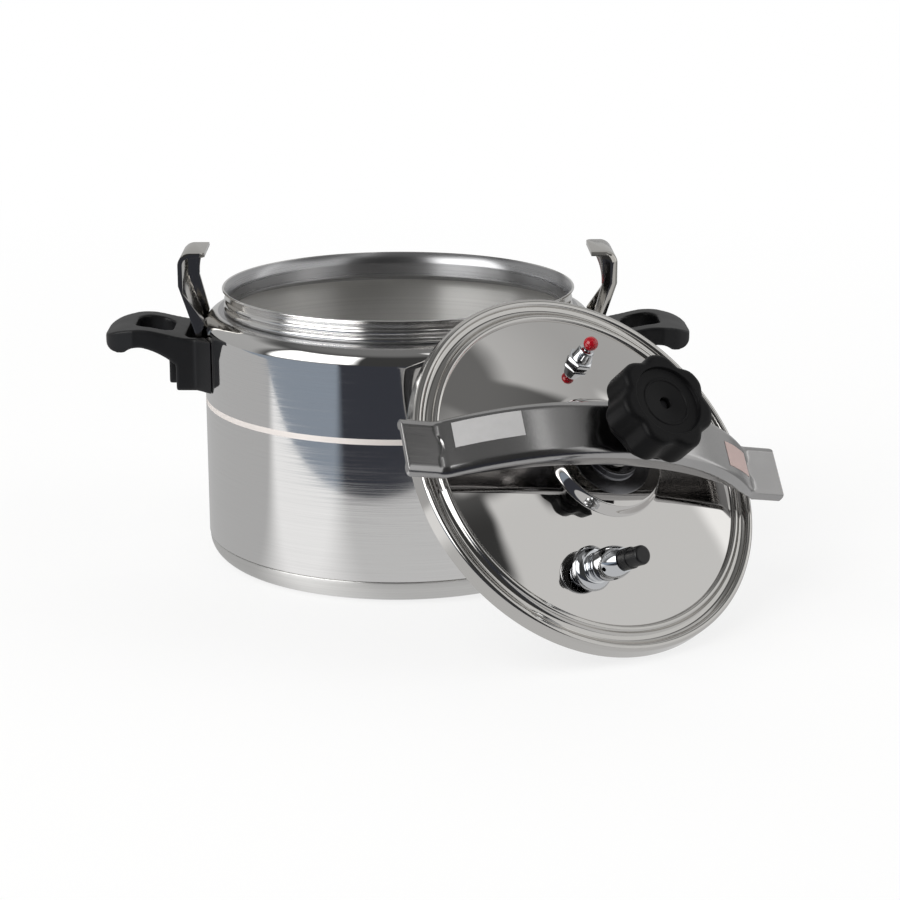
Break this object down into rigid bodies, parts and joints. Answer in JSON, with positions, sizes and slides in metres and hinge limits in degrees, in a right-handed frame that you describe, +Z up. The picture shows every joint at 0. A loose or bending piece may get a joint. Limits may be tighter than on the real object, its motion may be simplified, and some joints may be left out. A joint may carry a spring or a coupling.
{
  "type": "stovetop pressure cooker",
  "caption": "Stovetop pressure cooker with its lid off and leaning on the pot: side hooks, loop handles, arched clamp bridge with a screw knob, weight valve and safety valve.",
  "frame": {"origin": "centre of the underside of the pot, on the floor", "axes": "+Z up along the axis of the pot, handles along X, the lid leans on the front right of the rim, towards -Y and +X"},
  "size_m": [0.37, 0.3376, 0.1755],
  "materials": {
    "pot": "brushed and polished",
    "pot_base": "polished",
    "hook": "polished",
    "handle": "matte black",
    "fixing": "plain",
    "lid": "mirror polish",
    "gasket": "matte",
    "cup": "satin",
    "bridge": "brushed along the length",
    "bush": "turned",
    "screw": "turned",
    "knob": "matte black",
    "insert": "turned",
    "valve": "polished",
    "valve_seal": "matte",
    "valve_cap": "black",
    "safety_ball": "glossy red"
  },
  "bodies": {
    "pot": {"pot_body": "pot", "base_disc": "pot_base", "left_hook": "hook", "right_hook": "hook", "left_handle": "handle", "right_handle": "handle", "left_stud": "fixing", "right_stud": "fixing", "left_washer": "fixing", "right_washer": "fixing", "left_nut": "fixing", "right_nut": "fixing"},
    "lid": {"lid_shell": "lid", "gasket": "gasket", "cup_disc": "cup", "cup_ring": "cup", "regulator_body": "valve", "regulator_washer": "valve_seal", "regulator_nut": "valve", "safety_body": "valve", "safety_washer": "valve_seal", "safety_nut": "valve"},
    "bridge": {"yoke_bar": "bridge", "yoke_bush": "bush", "yoke_ring": "bush"},
    "foot": {"screw_foot": "screw"},
    "screw": {"spindle": "screw", "knob": "knob", "knob_insert": "insert", "knob_screw": "fixing"},
    "weight": {"regulator_hood": "valve", "regulator_cap": "valve_cap"},
    "pin": {"safety_stem": "valve", "safety_ball": "safety_ball"}
  },
  "joints": [
    {"name": "lid_lift", "type": "slide", "parent": "pot", "child": "lid", "axis": [0.4474, -0.6272, 0.6376], "range_m": [0, 0.25]},
    {"name": "yoke_swivel", "type": "hinge", "parent": "lid", "child": "bridge", "pos_m": [0.09761, -0.13685, 0.08338], "axis": [0.4474, -0.6272, 0.6376], "range_deg": [-45, 45]},
    {"name": "foot_travel", "type": "slide", "parent": "bridge", "child": "foot", "axis": [0.4474, -0.6272, 0.6376], "range_m": [0, 0.008]},
    {"name": "knob_turn", "type": "hinge", "parent": "foot", "child": "screw", "pos_m": [0.09761, -0.13685, 0.08338], "axis": [0.4474, -0.6272, 0.6376], "range_deg": [0, 720]},
    {"name": "regulator_lift", "type": "slide", "parent": "lid", "child": "weight", "axis": [0.5493, -0.725, 0.4154], "range_m": [0, 0.003]},
    {"name": "safety_lift", "type": "slide", "parent": "lid", "child": "pin", "axis": [0.4029, -0.4608, 0.7908], "range_m": [0, 0.0025]}
  ],
  "couplings": [
    {"joint": "foot_travel", "follows": "knob_turn", "m_per_rad": 0.00063662}
  ]
}
